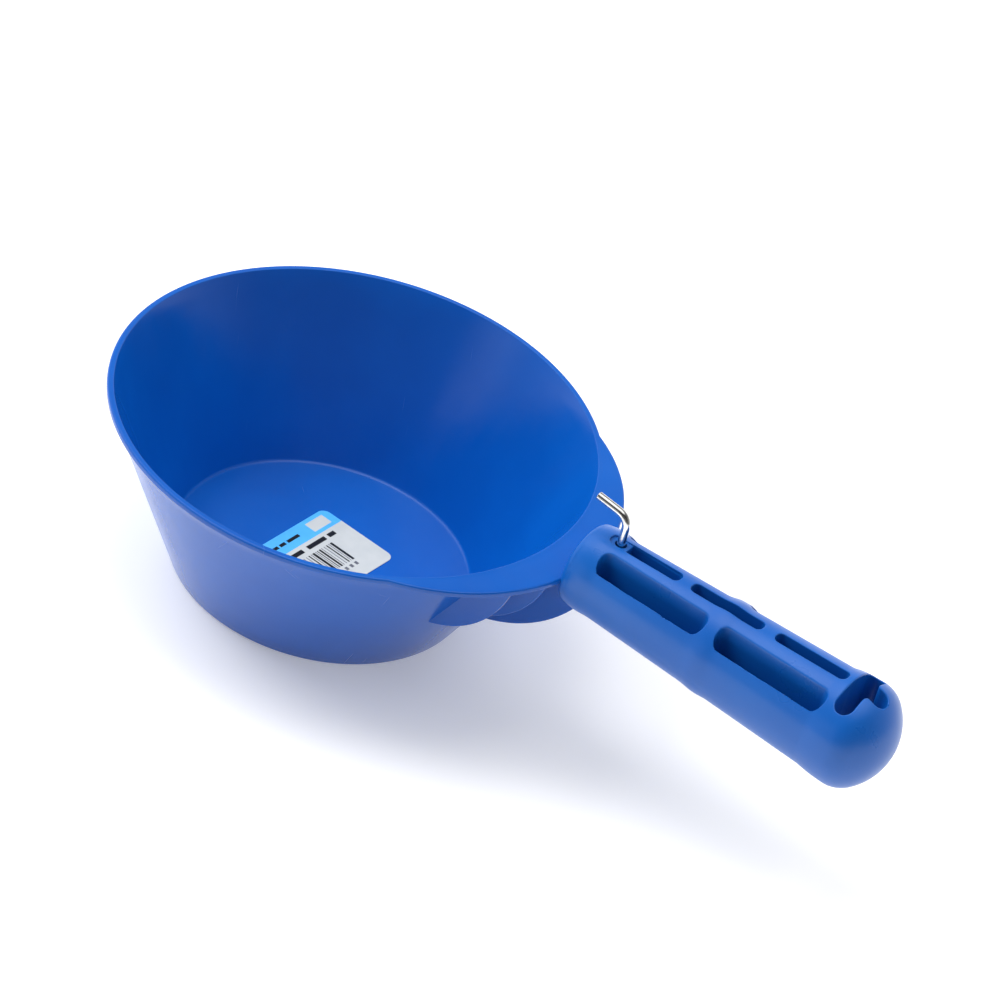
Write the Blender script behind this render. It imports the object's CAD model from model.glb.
import math

import bmesh
import bpy
import numpy as np
from mathutils import Matrix, Vector


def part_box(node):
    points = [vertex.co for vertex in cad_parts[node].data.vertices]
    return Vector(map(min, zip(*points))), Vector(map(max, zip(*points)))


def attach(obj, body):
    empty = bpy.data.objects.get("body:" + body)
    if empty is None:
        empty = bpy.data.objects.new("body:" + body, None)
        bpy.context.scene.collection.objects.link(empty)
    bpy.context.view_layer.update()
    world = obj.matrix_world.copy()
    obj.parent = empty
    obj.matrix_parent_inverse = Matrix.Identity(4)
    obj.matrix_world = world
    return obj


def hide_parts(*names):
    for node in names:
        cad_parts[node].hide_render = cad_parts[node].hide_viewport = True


# Looks of the plastic bucket scoop. Lengths are in millimetres until a mesh is made.
# +Z is up the bowl's axis, +X runs along the grip, and the grip's own axis is as high as the lip's top.

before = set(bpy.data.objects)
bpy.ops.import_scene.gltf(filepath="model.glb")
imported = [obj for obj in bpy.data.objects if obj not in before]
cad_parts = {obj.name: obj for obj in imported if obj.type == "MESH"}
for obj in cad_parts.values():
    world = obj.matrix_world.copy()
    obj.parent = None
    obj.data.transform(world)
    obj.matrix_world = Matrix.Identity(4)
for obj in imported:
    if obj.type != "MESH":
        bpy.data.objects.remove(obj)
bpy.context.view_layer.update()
MM = 0.001


def node_box(node):
    low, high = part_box(node)
    return np.array(low) / MM, np.array(high) / MM


# ---------- sizes ----------

LIP_LOW, LIP_HIGH = node_box("rim_collar")
LIP_RADIUS = -LIP_LOW[0]
LIP_TOP = LIP_HIGH[2]
LIP_BOTTOM = LIP_LOW[2]
LIP_ROUND = 0.8
BASE_RADIUS = 52.7
WALL_TOP_RADIUS = 84.6
WALL = 1.8
FLOOR = node_box("floor_label")[0][2]
FLOOR_ROUND = 1.8
BASE_ROUND = 1.0
COLLAR_CENTRE = 28.9
COLLAR_RADIUS = 68.1
COLLAR_BLEND = 3.0
SECTION_HUB = 4.0

RIB_SOFT = 0.4
RIB_SUNK = 0.9
RIB_PITCH = 14.5
RIB_RADIUS = 38.0
RIB_CENTRE_HEIGHT = 67.0
RIB_SETBACK = 3.2
KEEL_CENTRE_X, KEEL_CENTRE_HEIGHT, KEEL_RADIUS = 47.3, 74.8, 57.8

GRIP_LOW, GRIP_HIGH = node_box("grip")
GRIP_START = GRIP_LOW[0]
GRIP_END = GRIP_HIGH[0]
AXIS_HEIGHT = LIP_TOP
GRIP_START_RADIUS = 14.54
GRIP_START_ROUND = 2.5
GRIP_TAPER = 0.0356
FIRST_RIDGE, SECOND_RIDGE = 101.0, 150.0
RIDGE_HALF, RIDGE_HEIGHT = 6.0, 0.4
RIDGE_ROUND = RIDGE_HALF ** 2 / (4 * RIDGE_HEIGHT)
SWELL_START, SWELL_END, SWELL_RADIUS = 193.0, 203.0, 18.9
CAP_ROUND = 10.8

FIRST_SLOT = (102.0, 129.7)
MIDDLE_SLOTS = ((134.4, 162.2), (167.4, 195.0))
MIDDLE_SLOT_HALF, MIDDLE_SLOT_CORNER, MIDDLE_SLOT_FLOOR = 2.5, 2.0, -12.0
SIDE_SLOT_START, SIDE_SLOT_PITCH, SIDE_SLOT_LENGTH = 104.6, 47.6, 42.6
SIDE_SLOT_OFFSET, SIDE_SLOT_WIDTH, SIDE_SLOT_CORNER, SIDE_SLOT_FLOOR = 5.75, 6.4, 2.9, -8.5
SIDE_SLOT_LEAN = math.radians(1.67)
HANG_BAR = (197.5, 204.0, -12.5, 12.5)
HANG_STEM = (198.5, 210.0, -3.6, 3.6)
HANG_CORNER, HANG_INNER_CORNER, HANG_SOFT = 3.0, 1.6, 0.6
EDGE_SOFT = 0.4
INNER_EDGE_SOFT = 0.3
FLOOR_SOFT = 0.9

BOSS_TOP = 14.3
BOSS_END = 109.2
BORE_STATION = 105.8
BORE_RADIUS, BORE_DEPTH = 1.5, 20.0
MOUTH_RADIUS, MOUTH_DEPTH = 1.95, 2.0

WIRE_RADIUS = 1.5
WIRE_CHAMFER = 0.16
WIRE_SIDES = 40
HOOK_RISE = math.radians(6.6)
HOOK_BEND = 4.5
HOOK_CORNER_HEIGHT = 25.0
HOOK_REACH = 12.7
FOOT_GAP = 0.5

LABEL_HALF_WIDTH, LABEL_HALF_LENGTH, LABEL_CORNER = 16.15, 21.0, 3.0
LABEL_TURN = math.radians(-2.1)

# Mesh of the grip: grid steps along x, y and z, and the turns in degrees that split a face.
GRIP_GRID = (1.15, 0.5, 0.5)
GRIP_REACH = 20.5
REFINE_LIMITS = (24, 32)


# ---------- small geometry ----------

def wall_radius(height):
    return BASE_RADIUS + (WALL_TOP_RADIUS - BASE_RADIUS) * height / LIP_TOP


WALL_ANGLE = math.atan2(LIP_TOP, WALL_TOP_RADIUS - BASE_RADIUS)


def arc(start, end, radius, turn, steps):
    """Points of the shorter arc from start to end, turning left for +1. The start is left out."""
    start, end = np.array(start, float), np.array(end, float)
    chord = end - start
    half = np.linalg.norm(chord) / 2
    across = np.array([-chord[1], chord[0]]) / (2 * half)
    centre = (start + end) / 2 + across * turn * math.sqrt(max(radius ** 2 - half ** 2, 0))
    first = math.atan2(*(start - centre)[::-1])
    sweep = 2 * math.asin(min(half / radius, 1)) * turn
    angles = first + sweep * np.arange(1, steps + 1) / steps
    return [(centre[0] + radius * math.cos(a), centre[1] + radius * math.sin(a)) for a in angles]


def straight(start, end, steps):
    """Points of a straight run. The start is left out."""
    return [tuple(np.array(start) + (np.array(end) - np.array(start)) * i / steps)
            for i in range(1, steps + 1)]


def make_object(name, points, faces, body="scoop", normals=None):
    """A mesh object from points in millimetres, smooth shaded, riding on a body."""
    mesh = bpy.data.meshes.new(name)
    corners = [list(map(int, face)) for face in faces]
    mesh.from_pydata((np.asarray(points, float) * MM).tolist(), [], corners)
    mesh.validate()
    mesh.shade_smooth()
    if normals is not None:
        mesh.normals_split_custom_set_from_vertices(np.asarray(normals, float).tolist())
    piece = bpy.data.objects.new(name, mesh)
    bpy.context.scene.collection.objects.link(piece)
    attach(piece, body)
    return piece


def tube_faces(rows, count):
    """Faces round a run of closed rings, with a face on each end."""
    faces = []
    for i in range(rows - 1):
        here, above = i * count, (i + 1) * count
        for j in range(count):
            after = (j + 1) % count
            faces.append((here + j, here + after, above + after, above + j))
    faces.append(tuple(range(count - 1, -1, -1)))
    faces.append(tuple((rows - 1) * count + j for j in range(count)))
    return faces


# ---------- bowl, lip and collar as one skin ----------

def lip_blend():
    """The angles where the blend from the round lip to the collar begins and ends."""
    reach = LIP_RADIUS + COLLAR_BLEND
    collar_reach = COLLAR_RADIUS + COLLAR_BLEND
    blend_x = (reach ** 2 - collar_reach ** 2 + COLLAR_CENTRE ** 2) / (2 * COLLAR_CENTRE)
    blend_y = math.sqrt(reach ** 2 - blend_x ** 2)
    ratio = COLLAR_RADIUS / collar_reach
    collar_end = math.atan2(blend_y * ratio, COLLAR_CENTRE + (blend_x - COLLAR_CENTRE) * ratio)
    return math.atan2(blend_y, blend_x), collar_end


def outline_radius(angle):
    """Distance from the bowl's axis to the edge of the lip and collar."""
    along, side = math.cos(angle), abs(math.sin(angle))
    inside = COLLAR_RADIUS ** 2 - (COLLAR_CENTRE * side) ** 2
    collar = COLLAR_CENTRE * along + math.sqrt(inside)
    reach = LIP_RADIUS + COLLAR_BLEND
    lip_end, collar_end = lip_blend()
    turned = abs(math.atan2(math.sin(angle), along))
    if collar_end < turned < lip_end:
        lean = turned - lip_end
        return reach * math.cos(lean) - math.sqrt(COLLAR_BLEND ** 2 - (reach * math.sin(lean)) ** 2)
    return max(LIP_RADIUS, collar)


def foot(corner, height, radius):
    """The two tangent points of a round between a level line and the sloping wall."""
    reach = radius * math.tan(WALL_ANGLE / 2)
    return ((corner - reach, height),
            (corner + reach * math.cos(WALL_ANGLE), height + reach * math.sin(WALL_ANGLE)))


def bowl_section(edge):
    """Half section from the middle of the underside, out round the lip and in to the floor."""
    base_level, base_sloping = foot(BASE_RADIUS, 0.0, BASE_ROUND)
    floor_level, floor_sloping = foot(wall_radius(FLOOR) - WALL, FLOOR, FLOOR_ROUND)
    under = wall_radius(LIP_BOTTOM)
    corner, edge_round = 0.5, 0.3
    points = [(SECTION_HUB, 0.0)]
    points += straight(points[-1], (base_level[0] - 1.0, 0.0), 6)
    points += straight(points[-1], base_level, 1)
    points += arc(base_level, base_sloping, BASE_ROUND, 1, 6)
    hollow_low = (wall_radius(LIP_BOTTOM - corner), LIP_BOTTOM - corner)
    points += straight(base_sloping, hollow_low, 12)
    points += straight(hollow_low, (under + corner * 0.55, LIP_BOTTOM - 0.06), 2)
    points += straight(points[-1], (under + corner + 0.2, LIP_BOTTOM), 1)
    points += straight(points[-1], (edge - edge_round, LIP_BOTTOM), 5)
    points += arc(points[-1], (edge, LIP_BOTTOM + edge_round), edge_round, 1, 3)
    points += straight(points[-1], (edge, LIP_TOP - LIP_ROUND), 2)
    points += arc(points[-1], (edge - LIP_ROUND, LIP_TOP), LIP_ROUND, 1, 8)
    mouth, mouth_round, fall = WALL_TOP_RADIUS - WALL, 0.42, 0.25
    points += straight(points[-1], (mouth + 0.4, LIP_TOP), 5)
    drop = (mouth - fall * math.cos(WALL_ANGLE), LIP_TOP - fall * math.sin(WALL_ANGLE))
    points += arc(points[-1], drop, mouth_round, 1, 5)
    points += straight(points[-1], floor_sloping, 14)
    points += arc(floor_sloping, floor_level, FLOOR_ROUND, -1, 10)
    points += straight(floor_level, (floor_level[0] - 1.0, FLOOR), 1)
    points += straight(points[-1], (SECTION_HUB, FLOOR), 8)
    return points


def make_bowl():
    """The section turned round the axis, one per degree and closer at the collar's ends."""
    angles = [math.radians(a) for a in range(0, 360)]
    blend = lip_blend()[0]
    for side in (blend, -blend):
        angles += [side + math.radians(0.25 * i) for i in range(-14, 15)]
    angles = sorted({round(a % (2 * math.pi), 5) for a in angles})
    sections = [bowl_section(outline_radius(a)) for a in angles]
    count = len(sections[0])
    points = [(r * math.cos(a), r * math.sin(a), z) for a, s in zip(angles, sections) for r, z in s]
    turns = len(angles)
    faces = []
    for i in range(turns):
        here, after = i * count, (i + 1) % turns * count
        faces += [(here + j, after + j, after + j + 1, here + j + 1) for j in range(count - 1)]
    low_centre, high_centre = len(points), len(points) + 1
    points += [(0, 0, 0), (0, 0, FLOOR)]
    for i in range(turns):
        following = (i + 1) % turns
        faces.append((low_centre, following * count, i * count))
        faces.append((high_centre, i * count + count - 1, following * count + count - 1))
    piece = make_object("bowl_and_lip", points, faces)
    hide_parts("bowl", "rim_collar")
    return piece


# ---------- ribs ----------

def make_rib(node, centre_x, centre_z, radius):
    """An upright plate whose free edge is an arc with rounded corners."""
    low, high = node_box(node)
    middle, half = (low[1] + high[1]) / 2, (high[1] - low[1]) / 2

    def wall_x(height):
        """Where the plate ends inside the bowl's wall."""
        return math.sqrt((wall_radius(height) - RIB_SUNK) ** 2 - (abs(middle) + half) ** 2)

    def edge_point(angle, size):
        return centre_x + size * math.sin(angle), centre_z - size * math.cos(angle)

    top = math.acos((centre_z - LIP_BOTTOM - 0.4) / radius)
    start = next(a for a in np.linspace(0, top, 600)
                 if edge_point(a, radius)[0] > wall_x(edge_point(a, radius)[1]))
    across = [(-half + RIB_SOFT * (1 - math.sin(t)), RIB_SOFT * (1 - math.cos(t)))
              for t in np.radians([90, 60, 30, 0])]
    across += [(-y, inset) for y, inset in across[::-1]]
    points, rows = [], 32
    for angle in np.linspace(start, top, rows):
        tip = edge_point(angle, radius)
        inner = wall_x(tip[1])
        ring = [(inner, middle - half, tip[1])]
        for y, inset in across:
            x, z = edge_point(angle, radius - inset)
            ring.append((x, middle + y, z))
        ring.append((inner, middle + half, tip[1]))
        points += ring
    piece = make_object(node + "_plate", points, tube_faces(rows, len(across) + 2))
    piece.data.set_sharp_from_angle(angle=math.radians(40))
    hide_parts(node)
    return piece


# ---------- grip from a distance field ----------

def grip_radius(station):
    return GRIP_START_RADIUS + GRIP_TAPER * (station - GRIP_START)


def ridge(centre, steps=12):
    """A low ring round the grip: its first inflection, and the points from there on."""
    half, height, size = RIDGE_HALF, RIDGE_HEIGHT, RIDGE_ROUND
    near = (centre - half / 2, grip_radius(centre - half / 2) + height / 2)
    far = (centre + half / 2, grip_radius(centre + half / 2) + height / 2)
    high = (centre + half, grip_radius(centre + half))
    return near, arc(near, far, size, -1, steps) + arc(far, high, size, 1, steps)


def grip_section():
    """The grip's turned outside as (station, radius) points."""
    begin = GRIP_START + GRIP_START_ROUND
    points = [(GRIP_START, 0.0), (GRIP_START, grip_radius(begin) - GRIP_START_ROUND)]
    points += arc(points[-1], (begin, grip_radius(begin)), GRIP_START_ROUND, -1, 16)
    near, ring = ridge(FIRST_RIDGE)
    points += [near] + ring
    low = SECOND_RIDGE - RIDGE_HALF
    near, ring = ridge(SECOND_RIDGE)
    points += [(low, grip_radius(low))] + arc((low, grip_radius(low)), near, RIDGE_ROUND, 1, 12) + ring
    start = (SWELL_START, grip_radius(SWELL_START))
    rise = SWELL_RADIUS - start[1]
    swell = ((SWELL_END - SWELL_START) ** 2 + rise ** 2) / (2 * rise)
    points += [start] + arc(start, (SWELL_END, SWELL_RADIUS), swell, -1, 16)
    depth = GRIP_END - SWELL_END
    flat = SWELL_RADIUS - CAP_ROUND
    big = (flat ** 2 + depth ** 2 - CAP_ROUND ** 2) / (2 * (depth - CAP_ROUND))
    lean = math.atan2(flat, big - depth)
    join = (SWELL_END + CAP_ROUND * math.cos(lean), flat + CAP_ROUND * math.sin(lean))
    points += arc(points[-1], join, CAP_ROUND, -1, 24) + arc(join, (GRIP_END, 0.0), big, -1, 24)
    return np.array(points)


class TurnedField:
    """Signed distance to a turned shape, read from a table over station and radius."""
    STEP = 0.2

    def __init__(self, section, low, high, reach):
        stations = np.arange(low, high, self.STEP)
        radii = np.arange(0, reach, self.STEP)
        grid = np.stack(np.meshgrid(stations, radii, indexing="ij"), -1)
        nearest = np.full(grid.shape[:2], 1e9)
        for start, end in zip(section[:-1], section[1:]):
            run = end - start
            share = np.clip(((grid - start) @ run) / (run @ run + 1e-12), 0, 1)
            apart = np.linalg.norm(grid - start - share[..., None] * run, axis=-1)
            nearest = np.minimum(nearest, apart)
        shape = np.interp(stations, section[:, 0], section[:, 1], left=-1, right=-1)
        outside = radii[None, :] > shape[:, None]
        self.table = np.where(outside, nearest, -nearest)
        self.low = low

    def __call__(self, x, r):
        u = np.clip((x - self.low) / self.STEP, 0, self.table.shape[0] - 1.001)
        v = np.clip(r / self.STEP, 0, self.table.shape[1] - 1.001)
        i, j = u.astype(int), v.astype(int)
        a, b = u - i, v - j
        t = self.table
        return ((t[i, j] * (1 - a) + t[i + 1, j] * a) * (1 - b)
                + (t[i, j + 1] * (1 - a) + t[i + 1, j + 1] * a) * b)


def common(a, b, radius):
    """Where two fields overlap, with its outer corners rounded."""
    corner = np.hypot(np.maximum(a + radius, 0), np.maximum(b + radius, 0))
    return np.minimum(-radius, np.maximum(a, b)) + corner


def joined(a, b, radius):
    """Both fields together, with the corner between them filled."""
    return -common(-a, -b, radius)


def cut(a, b, radius):
    """The first field without the second, with a rounded edge."""
    return common(a, -b, radius)


def plate(u, v, low_u, high_u, low_v, high_v, corner):
    """Signed distance to a rounded rectangle."""
    du = np.abs(u - (low_u + high_u) / 2) - (high_u - low_u) / 2 + corner
    dv = np.abs(v - (low_v + high_v) / 2) - (high_v - low_v) / 2 + corner
    beyond = np.hypot(np.maximum(du, 0), np.maximum(dv, 0))
    return beyond + np.minimum(np.maximum(du, dv), 0) - corner


GRIP_FIELD = TurnedField(grip_section(), GRIP_START - 3, GRIP_END + 3, 23)


def grip_field(p):
    """The grip and the hook's boss. Heights are from the grip's own axis."""
    x, y, z = p[..., 0], p[..., 1], p[..., 2]
    solid = GRIP_FIELD(x, np.hypot(y, z))
    half, corner = MIDDLE_SLOT_HALF, MIDDLE_SLOT_CORNER
    first = plate(x, y, *FIRST_SLOT, -half, half, corner)
    solid = cut(solid, common(first, BOSS_TOP - z, 0.1), INNER_EDGE_SOFT)
    deep = common(first, BOSS_END - x, INNER_EDGE_SOFT)
    solid = cut(solid, common(deep, MIDDLE_SLOT_FLOOR - z, FLOOR_SOFT), INNER_EDGE_SOFT)
    for start, end in MIDDLE_SLOTS:
        slot = common(plate(x, y, start, end, -half, half, corner), MIDDLE_SLOT_FLOOR - z, FLOOR_SOFT)
        solid = cut(solid, slot, EDGE_SOFT)
    side = np.abs(y)
    along = x * math.cos(SIDE_SLOT_LEAN) + side * math.sin(SIDE_SLOT_LEAN)
    across = side * math.cos(SIDE_SLOT_LEAN) - x * math.sin(SIDE_SLOT_LEAN)
    inner = SIDE_SLOT_OFFSET - SIDE_SLOT_START * math.sin(SIDE_SLOT_LEAN)
    outer = inner + SIDE_SLOT_WIDTH
    for start in (SIDE_SLOT_START, SIDE_SLOT_START + SIDE_SLOT_PITCH):
        end = start + SIDE_SLOT_LENGTH
        outline = plate(along, across, start, end, inner, outer, SIDE_SLOT_CORNER)
        solid = cut(solid, common(outline, SIDE_SLOT_FLOOR - z, FLOOR_SOFT), EDGE_SOFT)
    bar = plate(x, y, *HANG_BAR, HANG_CORNER)
    stem = plate(x, y, *HANG_STEM, HANG_CORNER)
    solid = cut(solid, joined(bar, stem, HANG_INNER_CORNER), HANG_SOFT)
    ring = np.hypot(x - BORE_STATION, y)
    bore = common(ring - BORE_RADIUS, BOSS_TOP - BORE_DEPTH - z, 0.2)
    mouth = common(ring - MOUTH_RADIUS, BOSS_TOP - MOUTH_DEPTH - z, 0.2)
    return cut(solid, joined(bore, mouth, 0.05), 0.12)


def surface_net(field, low, high, steps):
    """Points on a field's zero level, and the quads between them."""
    axes = [np.arange(a, b + s, s) for a, b, s in zip(low, high, steps)]
    grid = np.stack(np.meshgrid(*axes, indexing="ij"), -1)
    values = field(grid)
    inside = values < 0
    size = np.array(values.shape) - 1
    total, weight = np.zeros((*size, 3)), np.zeros(size)
    for axis in range(3):
        others = [a for a in range(3) if a != axis]
        for shift in ((0, 0), (0, 1), (1, 0), (1, 1)):
            near, far = [None] * 3, [None] * 3
            near[axis], far[axis] = slice(0, -1), slice(1, None)
            for other, offset in zip(others, shift):
                near[other] = far[other] = slice(offset, offset + size[other])
            near, far = tuple(near), tuple(far)
            crossed = inside[near] != inside[far]
            share = np.where(crossed, values[near] / (values[near] - values[far] + 1e-12), 0)
            point = grid[near] + (grid[far] - grid[near]) * share[..., None]
            total += np.where(crossed[..., None], point, 0)
            weight += crossed
    mixed = weight > 0
    index = np.full(mixed.shape, -1)
    index[mixed] = np.arange(mixed.sum())
    points = total[mixed] / weight[mixed][:, None]
    quads = []
    for axis in range(3):
        b, c = (axis + 1) % 3, (axis + 2) % 3
        near, far = [slice(1, -1)] * 3, [slice(1, -1)] * 3
        near[axis], far[axis] = slice(0, -1), slice(1, None)
        first, second = inside[tuple(near)], inside[tuple(far)]
        changed = first != second
        at = np.argwhere(changed)
        at[:, b] += 1
        at[:, c] += 1
        ring = []
        for db, dc in ((-1, -1), (0, -1), (0, 0), (-1, 0)):
            cell = at.copy()
            cell[:, b] += db
            cell[:, c] += dc
            ring.append(index[tuple(cell.T)])
        ring = np.stack(ring, 1)
        flip = ~first[changed]
        ring[flip] = ring[flip][:, ::-1]
        quads.append(ring)
    quads = np.concatenate(quads).tolist()
    return even_out(field, points, quads), quads


def even_out(field, points, faces):
    """Spread points over the zero level so that none bunch up or cut a corner."""
    ends = np.array([(face[i - 1], face[i]) for face in faces for i in range(len(face))])
    for _ in range(3):
        points = settle(field, relax(points, ends))
    return settle(field, points)


def relax(points, ends):
    """Each point half way to the middle of the points it shares an edge with."""
    ends = np.concatenate([ends, ends[:, ::-1]])
    count = np.bincount(ends[:, 0], minlength=len(points))
    middle = np.stack([np.bincount(ends[:, 0], weights=points[ends[:, 1], k], minlength=len(points))
                       for k in range(3)], 1) / count[:, None]
    return (points + middle) / 2


def slope(field, points, step=0.02):
    """The field and its unit gradient at some points."""
    gradient = np.stack([field(points + np.eye(3)[k] * step) - field(points - np.eye(3)[k] * step)
                         for k in range(3)], 1)
    return field(points), gradient / (np.linalg.norm(gradient, axis=1)[:, None] + 1e-12)


def settle(field, points):
    """Move points along the slope onto the zero level."""
    value, normal = slope(field, points)
    return points - normal * np.clip(value, -0.4, 0.4)[:, None]


def refine(field, points, faces, limit):
    """Split the faces across which the surface turns by more than the limit, in degrees."""
    normals = slope(field, points)[1]
    mesh = bmesh.new()
    for point in points.tolist():
        mesh.verts.new(point)
    mesh.verts.ensure_lookup_table()
    for face in faces:
        mesh.faces.new([mesh.verts[i] for i in face])
    mesh.verts.index_update()
    least = math.cos(math.radians(limit))
    chosen = set()
    for face in mesh.faces:
        corners = normals[[v.index for v in face.verts]]
        if (corners @ corners.T).min() < least:
            chosen.update(face.edges)
    edges = sorted(chosen, key=lambda e: tuple(sorted(v.index for v in e.verts)))
    bmesh.ops.subdivide_edges(mesh, edges=edges, cuts=1, use_grid_fill=True)
    mesh.verts.index_update()
    points = np.array([v.co[:] for v in mesh.verts])
    faces = [[v.index for v in face.verts] for face in mesh.faces]
    mesh.free()
    return even_out(field, points, faces), faces


def make_grip():
    low = (GRIP_START - 2, -GRIP_REACH, -GRIP_REACH)
    high = (GRIP_END + 2, GRIP_REACH, GRIP_REACH)
    points, faces = surface_net(grip_field, low, high, GRIP_GRID)
    for limit in REFINE_LIMITS:
        points, faces = refine(grip_field, points, faces, limit)
    normals = slope(grip_field, points)[1]
    points = points + [0, 0, AXIS_HEIGHT]
    piece = make_object("slotted_grip", points, faces, normals=normals)
    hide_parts("grip", "hook_boss")
    return piece


# ---------- wire hook ----------

def make_hook():
    """A swept wire: chamfered foot, straight leg, bend, arm and square-cut tip."""
    corner = AXIS_HEIGHT + HOOK_CORNER_HEIGHT
    reach = HOOK_BEND * math.tan((math.pi / 2 - HOOK_RISE) / 2)
    foot_end = (0.0, AXIS_HEIGHT + BOSS_TOP - BORE_DEPTH + FOOT_GAP)
    bend_end = (-reach * math.cos(HOOK_RISE), corner + reach * math.sin(HOOK_RISE))
    path = [foot_end, *straight(foot_end, (0.0, corner - reach), 14)]
    path += arc(path[-1], bend_end, HOOK_BEND, 1, 18)
    path += straight(path[-1], (-HOOK_REACH, corner + HOOK_REACH * math.tan(HOOK_RISE)), 6)
    path = np.array(path)
    tangents = np.gradient(path, axis=0)
    tangents /= np.linalg.norm(tangents, axis=1)[:, None]
    tangents[0] = (0, 1)
    tangents[-1] = (-math.cos(HOOK_RISE), math.sin(HOOK_RISE))
    thin = WIRE_RADIUS - WIRE_CHAMFER
    stations = [(path[0], tangents[0], thin),
                (path[0] + tangents[0] * WIRE_CHAMFER, tangents[0], WIRE_RADIUS)]
    stations += [(p, t, WIRE_RADIUS) for p, t in zip(path[1:-1], tangents[1:-1])]
    stations += [(path[-1] - tangents[-1] * WIRE_CHAMFER, tangents[-1], WIRE_RADIUS),
                 (path[-1], tangents[-1], thin)]
    points = []
    for place, tangent, radius in stations:
        out = np.array([tangent[1], -tangent[0]])
        for i in range(WIRE_SIDES):
            angle = 2 * math.pi * i / WIRE_SIDES
            u, v = radius * math.cos(angle), radius * math.sin(angle)
            points.append((BORE_STATION + place[0] + out[0] * u, v, place[1] + out[1] * u))
    faces = tube_faces(len(stations), WIRE_SIDES)
    piece = make_object("bent_wire_hook", points, faces, body="hook")
    piece.data.set_sharp_from_angle(angle=math.radians(35))
    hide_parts("wire_hook")
    return piece


# ---------- materials ----------

class Nodes:
    """A short way to build a node tree."""

    def __init__(self, name):
        self.material = bpy.data.materials.new(name)
        self.material.use_nodes = True
        self.tree = self.material.node_tree
        self.shader = self.tree.nodes["Principled BSDF"]

    def add(self, kind, inputs=(), **settings):
        node = self.tree.nodes.new("ShaderNode" + kind)
        for key, value in settings.items():
            setattr(node, key, value)
        for key, value in dict(inputs).items():
            self.feed(node.inputs[key], value)
        return node

    def feed(self, socket, value):
        if isinstance(value, bpy.types.NodeSocket):
            self.tree.links.new(value, socket)
        else:
            socket.default_value = value

    def set(self, **inputs):
        for key, value in inputs.items():
            self.feed(self.shader.inputs[key.replace("_", " ")], value)

    def maths(self, operation, a, b=0.0, clamp=False):
        return self.add("Math", {0: a, 1: b}, operation=operation, use_clamp=clamp).outputs[0]

    def noise(self, vector, scale, detail=2.0):
        inputs = {"Vector": vector, "Scale": scale, "Detail": detail}
        return self.add("TexNoise", inputs).outputs["Fac"]

    def bump(self, height, strength, distance):
        inputs = {"Strength": strength, "Distance": distance, "Height": height}
        self.set(Normal=self.add("Bump", inputs).outputs[0])

    def spread(self, value, low, high, to_low=0.0, to_high=1.0):
        return self.add("MapRange", {0: value, 1: low, 2: high, 3: to_low, 4: to_high}).outputs[0]

    def mix(self, share, a, b):
        return self.add("MixRGB", {0: share, 1: a, 2: b}).outputs[0]


def rgb(red, green, blue):
    """Linear colour from screen values out of 255."""
    parts = [c / 255 for c in (red, green, blue)]
    return (*[c / 12.92 if c <= 0.04045 else ((c + 0.055) / 1.055) ** 2.4 for c in parts], 1.0)


def scratches(nodes, place, turn, seed):
    """Short straight hair lines: the peaks of a noise drawn out along one direction."""
    turned = nodes.add("Mapping", {"Vector": place, "Rotation": (0.2 * seed, 0.1, turn)}).outputs[0]
    drawn = nodes.add("Mapping", {"Vector": turned, "Location": (seed, seed * 0.37, 0),
                                  "Scale": (55, 2600, 55)}).outputs[0]
    line = nodes.spread(nodes.noise(drawn, 1.0, 0.0), 0.8, 0.88)
    where = nodes.spread(nodes.noise(place, 30.0 + seed, 1.0), 0.6, 0.7)
    return nodes.maths("MULTIPLY", line, where)


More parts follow.
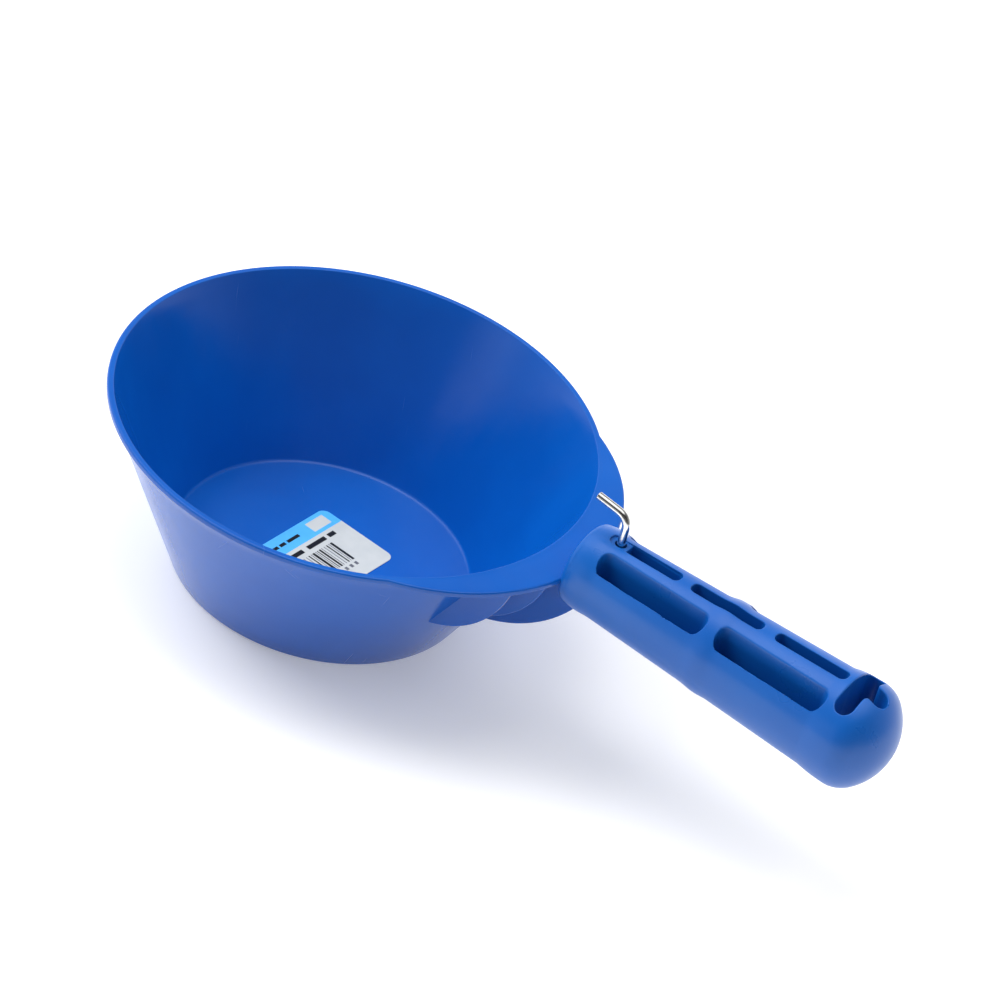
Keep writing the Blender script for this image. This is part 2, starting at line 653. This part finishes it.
def plastic(name, colour, shade, roughness, grain, specks=True):
    """Moulded plastic: cloudy tone, faint streaks, light scratches, a fine skin and a few specks."""
    nodes = Nodes(name)
    place = nodes.add("TexCoord").outputs["Object"]
    cloud = nodes.noise(place, 22.0, 3.0)
    base = nodes.mix(nodes.spread(cloud, 0.35, 0.65), colour, shade)
    split = nodes.add("SeparateXYZ", {0: place})
    angle = nodes.maths("ARCTAN2", split.outputs[1], split.outputs[0])
    round_it = nodes.maths("MULTIPLY", angle, 9.0)
    up = nodes.maths("MULTIPLY", split.outputs[2], 12.0)
    streak_place = nodes.add("CombineXYZ", {0: round_it, 1: up}).outputs[0]
    streak = nodes.noise(streak_place, 1.6, 3.0)
    base = nodes.mix(nodes.spread(streak, 0.3, 0.7, 0.0, 0.16), base, shade)
    first, second = scratches(nodes, place, 0.7, 1.0), scratches(nodes, place, 2.1, 4.0)
    scuff = nodes.maths("ADD", first, second, clamp=True)
    base = nodes.mix(nodes.maths("MULTIPLY", scuff, 0.2), base, rgb(110, 160, 220))
    if specks:
        dots = nodes.add("TexVoronoi", {"Vector": place, "Scale": 90.0})
        dot = nodes.spread(dots.outputs["Distance"], 0.012, 0.02, 1.0, 0.0)
        draw = nodes.add("SeparateColor", {0: dots.outputs["Color"]}).outputs[0]
        shown = nodes.maths("MULTIPLY", dot, nodes.spread(draw, 0.93, 0.94))
        base = nodes.mix(nodes.maths("MULTIPLY", shown, 0.7), base, rgb(190, 205, 225))
    nodes.set(Base_Color=base, IOR=1.49)
    worn = nodes.spread(nodes.noise(place, 60.0, 4.0), 0.3, 0.7, roughness - 0.03, roughness + 0.05)
    worn = nodes.maths("ADD", worn, nodes.maths("MULTIPLY", scuff, 0.2))
    worn = nodes.maths("ADD", worn, nodes.spread(streak, 0.3, 0.7, -0.02, 0.03), clamp=True)
    nodes.set(Roughness=worn)
    peel = nodes.noise(place, 240.0, 2.0)
    fine = nodes.noise(place, grain, 2.0)
    skin = nodes.maths("MULTIPLY", peel, 0.6)
    height = nodes.maths("ADD", skin, nodes.maths("MULTIPLY", fine, 0.25))
    height = nodes.maths("SUBTRACT", height, nodes.maths("MULTIPLY", scuff, 0.3))
    nodes.bump(height, 0.06, 0.0004)
    return nodes.material


def wire_metal():
    """Bright plating with faint drawing lines and small duller patches."""
    nodes = Nodes("plated_wire")
    place = nodes.add("TexCoord").outputs["Object"]
    drawn = nodes.add("Mapping", {"Vector": place, "Scale": (2400, 2400, 90)}).outputs[0]
    lines = nodes.noise(drawn, 1.0)
    patch = nodes.noise(place, 420.0, 3.0)
    tone = nodes.mix(nodes.spread(patch, 0.4, 0.7), rgb(240, 240, 238), rgb(212, 212, 210))
    nodes.set(Base_Color=tone, Metallic=1.0)
    dull = nodes.spread(patch, 0.35, 0.7, 0.08, 0.18)
    nodes.set(Roughness=nodes.maths("ADD", dull, nodes.maths("MULTIPLY", lines, 0.06)))
    nodes.bump(lines, 0.15, 0.0001)
    return nodes.material


def paper(name, colour, shade):
    """Coated paper, or the ink on it."""
    nodes = Nodes(name)
    place = nodes.add("TexCoord").outputs["Object"]
    tone = nodes.mix(nodes.spread(nodes.noise(place, 150.0, 4.0), 0.4, 0.7), colour, shade)
    nodes.set(Base_Color=tone, IOR=1.45)
    nodes.set(Roughness=nodes.spread(nodes.noise(place, 500.0, 3.0), 0.3, 0.7, 0.28, 0.4))
    nodes.bump(nodes.noise(place, 2600.0), 0.08, 0.0001)
    return nodes.material


# ---------- label ----------

WHITE, BAND, INK, GREY = range(4)


def label_print():
    """Generic print as (low x, high x, low y, high y, ink), in the label's own directions."""
    edge, end, band_width = LABEL_HALF_WIDTH, LABEL_HALF_LENGTH, 8.2
    marks = [(-edge, -edge + band_width, -end, end, BAND)]
    marks.append((-14.4, -9.6, 8.5, 17.6, WHITE))
    upper_dashes = ((-13.0, 4.2), (-7.9, 3.0), (-3.9, 6.3))
    lower_dashes = ((-15.5, 5.0), (-9.3, 6.2), (-0.6, 9.6), (10.6, 3.6))
    marks += [(-12.6, -11.2, y, y + width, INK) for y, width in upper_dashes]
    marks += [(-6.3, -4.4, y, y + width, INK) for y, width in lower_dashes]
    place, bars_end, rule = -17.5, 9.0, 0
    pattern = (0.9, 0.35, 0.35, 0.6, 0.35, 1.1, 0.35, 0.45)
    while place < bars_end:
        width = pattern[rule % len(pattern)]
        gap = pattern[(rule * 3 + 2) % len(pattern)] * 0.7 + 0.25
        marks.append((-2.4, 8.2, place, place + width, INK if width > 0.4 else GREY))
        place += width + gap
        rule += 1
    marks += [(9.3, 10.9, y, y + 1.3, GREY) for y in np.arange(-14.0, 8.0, 2.6)]
    return marks


def make_label(materials):
    """A thin slab with round corners, cut along every mark's edges so that faces carry the inks."""
    low, high = node_box("floor_label")
    half_sizes = (LABEL_HALF_WIDTH, LABEL_HALF_LENGTH)
    middle = (low + high) / 2
    outline = []
    for sx, sy, first in ((1, 1, 0), (-1, 1, 90), (-1, -1, 180), (1, -1, 270)):
        for step in range(9):
            angle = math.radians(first + step * 90 / 8)
            x = sx * (LABEL_HALF_WIDTH - LABEL_CORNER) + LABEL_CORNER * math.cos(angle)
            y = sy * (LABEL_HALF_LENGTH - LABEL_CORNER) + LABEL_CORNER * math.sin(angle)
            outline.append((x, y, 0.0))
    mesh = bmesh.new()
    mesh.faces.new([mesh.verts.new(p) for p in outline])
    marks = label_print()
    for axis in (0, 1):
        levels = sorted({round(v, 3) for m in marks for v in m[2 * axis:2 * axis + 2]})
        levels = [v for v in levels if abs(v) < half_sizes[axis] - 0.01]
        normal = (1, 0, 0) if axis == 0 else (0, 1, 0)
        for level in levels:
            bmesh.ops.bisect_plane(mesh, geom=mesh.verts[:] + mesh.edges[:] + mesh.faces[:],
                                   plane_co=Vector(normal) * level, plane_no=normal)
    for face in mesh.faces:
        centre = face.calc_center_median()
        for low_x, high_x, low_y, high_y, ink in marks:
            if low_x < centre.x < high_x and low_y < centre.y < high_y:
                face.material_index = ink
    rim = [e for e in mesh.edges if e.is_boundary]
    made = bmesh.ops.extrude_edge_only(mesh, edges=rim)["geom"]
    down = [v for v in made if isinstance(v, bmesh.types.BMVert)]
    for vertex in down:
        vertex.co.z -= high[2] - low[2]
    lowered = set(down)
    bottom = [e for e in made
              if isinstance(e, bmesh.types.BMEdge) and all(v in lowered for v in e.verts)]
    bmesh.ops.contextual_create(mesh, geom=bottom)
    bmesh.ops.recalc_face_normals(mesh, faces=mesh.faces[:])
    spin = Matrix.Translation((middle[0], middle[1], high[2])) @ Matrix.Rotation(LABEL_TURN, 4, "Z")
    mesh.transform(Matrix.Scale(MM, 4) @ spin)
    data = bpy.data.meshes.new("printed_label")
    mesh.to_mesh(data)
    mesh.free()
    for item in materials:
        data.materials.append(item)
    piece = bpy.data.objects.new("printed_label", data)
    bpy.context.scene.collection.objects.link(piece)
    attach(piece, "scoop")
    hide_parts("floor_label")
    return piece


# ---------- build ----------

bowl_plastic = plastic("bowl_blue", rgb(6, 91, 185), rgb(5, 83, 175), 0.17, 1400.0)
grip_plastic = plastic("grip_blue", rgb(14, 97, 186), rgb(11, 90, 178), 0.3, 2200.0, specks=False)
label_materials = [paper("label_white", rgb(202, 206, 204), rgb(195, 200, 199)),
                   paper("label_band", rgb(84, 184, 252), rgb(78, 176, 246)),
                   paper("label_ink", rgb(14, 16, 22), rgb(24, 26, 32)),
                   paper("label_grey", rgb(96, 100, 110), rgb(112, 116, 124))]

bowl = make_bowl()
bowl.data.materials.append(bowl_plastic)
ribs = [make_rib("gusset_keel", KEEL_CENTRE_X, KEEL_CENTRE_HEIGHT, KEEL_RADIUS)]
for steps, place in ((1, "inner"), (2, "outer")):
    edge = COLLAR_CENTRE + math.sqrt(COLLAR_RADIUS ** 2 - (RIB_PITCH * steps) ** 2)
    rise = RIB_CENTRE_HEIGHT - LIP_BOTTOM
    centre = edge - RIB_SETBACK - math.sqrt(RIB_RADIUS ** 2 - rise ** 2)
    for side in ("left", "right"):
        ribs.append(make_rib(f"gusset_{place}_{side}", centre, RIB_CENTRE_HEIGHT, RIB_RADIUS))
for rib in ribs:
    rib.data.materials.append(bowl_plastic)
grip = make_grip()
grip.data.materials.append(grip_plastic)
hook = make_hook()
hook.data.materials.append(wire_metal())
make_label(label_materials)


# ---------- studio, in metres ----------

OBJECT_MIDDLE = (0.05, 0, 0.03)
LAMPS = (("key", (-1.2, -0.3, 1.35), (1.0, 1.0), 23.0),
         ("top", (-0.2, 0.1, 1.8), (0.9, 0.9), 8.0),
         ("fill", (0.9, 0.6, 1.5), (1.2, 1.0), 5.0))
# Directions of the bright side of the room, a window and a softbox.
BRIGHT_SIDE = (-0.55, 0.8, 0.2)
WINDOW = (-0.42, -0.87, 0.26)
SOFTBOX = (-0.52, 0.17, 0.84)
FLOOR_REACH, FLOOR_LEVEL = 6.0, -0.0003
CAMERA_PLACE = (0.591914, -1.084441, 0.962173)
CAMERA_TARGET = (0.043485, 0.032267, 0.040)
CAMERA_ROLL = math.radians(16.169)
CAMERA_LENS, CAMERA_SENSOR = 164.23, 36.0


def look_at(thing, place, target, roll=0.0):
    place, target = Vector(place), Vector(target)
    turn = (target - place).to_track_quat("-Z", "Y").to_matrix().to_4x4()
    thing.matrix_world = Matrix.Translation(place) @ turn @ Matrix.Rotation(roll, 4, "Z")


def add_lamp(name, place, target, size, power):
    lamp = bpy.data.lights.new(name, "AREA")
    lamp.shape = "RECTANGLE"
    lamp.size, lamp.size_y = size
    lamp.energy = power
    thing = bpy.data.objects.new(name, lamp)
    thing.visible_glossy = False
    bpy.context.scene.collection.objects.link(thing)
    look_at(thing, place, target)


def make_world():
    """White light, dimmer from the camera's side. Gloss shows a pale backdrop and soft lights."""
    world = bpy.data.worlds.new("studio")
    bpy.context.scene.world = world
    world.use_nodes = True
    tree = world.node_tree
    background = tree.nodes["Background"]

    def add(kind, inputs, **settings):
        node = tree.nodes.new("ShaderNode" + kind)
        for key, value in settings.items():
            setattr(node, key, value)
        for key, value in inputs.items():
            if isinstance(value, bpy.types.NodeSocket):
                tree.links.new(value, node.inputs[key])
            else:
                node.inputs[key].default_value = value
        return node

    def ramp(value, low, high, to_low, to_high):
        return add("MapRange", {0: value, 1: low, 2: high, 3: to_low, 4: to_high}).outputs[0]

    def maths(operation, a, b):
        return add("Math", {0: a, 1: b}, operation=operation).outputs[0]

    def towards(axis):
        return add("VectorMath", {0: direction, 1: axis}, operation="DOT_PRODUCT").outputs["Value"]

    direction = add("TexCoord", {}).outputs["Generated"]
    height = add("SeparateXYZ", {0: direction}).outputs[2]
    facing = towards(BRIGHT_SIDE)
    walls = maths("MULTIPLY", ramp(height, 0.1, 0.62, 1.0, 0.2), ramp(facing, -0.5, 0.5, 0.16, 1.0))
    lit = maths("ADD", walls, ramp(height, 0.84, 0.95, 0.0, 1.2))
    window = ramp(towards(WINDOW), 0.96, 1.0, 0.0, 0.6)
    softbox = ramp(towards(SOFTBOX), 0.91, 0.97, 0.0, 1.1)
    seen = maths("ADD", lit, maths("ADD", window, softbox))
    even = ramp(facing, -0.5, 0.5, 0.28, 0.95)
    gloss = add("LightPath", {}).outputs["Is Glossy Ray"]
    strength = ramp(gloss, 0.0, 1.0, even, seen)
    tree.links.new(strength, background.inputs[1])
    background.inputs[0].default_value = (1, 1, 1, 1)


def make_floor():
    corners = [(x * FLOOR_REACH, y * FLOOR_REACH, FLOOR_LEVEL)
               for x, y in ((-1, -1), (1, -1), (1, 1), (-1, 1))]
    mesh = bpy.data.meshes.new("studio_floor")
    mesh.from_pydata(corners, [], [(0, 1, 2, 3)])
    floor = bpy.data.objects.new("studio_floor", mesh)
    bpy.context.scene.collection.objects.link(floor)
    nodes = Nodes("studio_floor_white")
    nodes.set(Base_Color=(0.85, 0.85, 0.85, 1), Roughness=0.9)
    nodes.set(Emission_Color=(1, 1, 1, 1), Emission_Strength=0.26)
    nodes.shader.inputs["Specular IOR Level"].default_value = 0.1
    mesh.materials.append(nodes.material)


def make_camera():
    camera = bpy.data.cameras.new("photo_camera")
    camera.sensor_width = CAMERA_SENSOR
    camera.lens = CAMERA_LENS
    camera.clip_end = 20.0
    thing = bpy.data.objects.new("photo_camera", camera)
    bpy.context.scene.collection.objects.link(thing)
    look_at(thing, CAMERA_PLACE, CAMERA_TARGET, CAMERA_ROLL)
    bpy.context.scene.camera = thing


make_floor()
make_camera()
for lamp_name, lamp_place, lamp_size, lamp_power in LAMPS:
    add_lamp(lamp_name, lamp_place, OBJECT_MIDDLE, lamp_size, lamp_power)
make_world()
bpy.context.scene.view_settings.view_transform = "Standard"
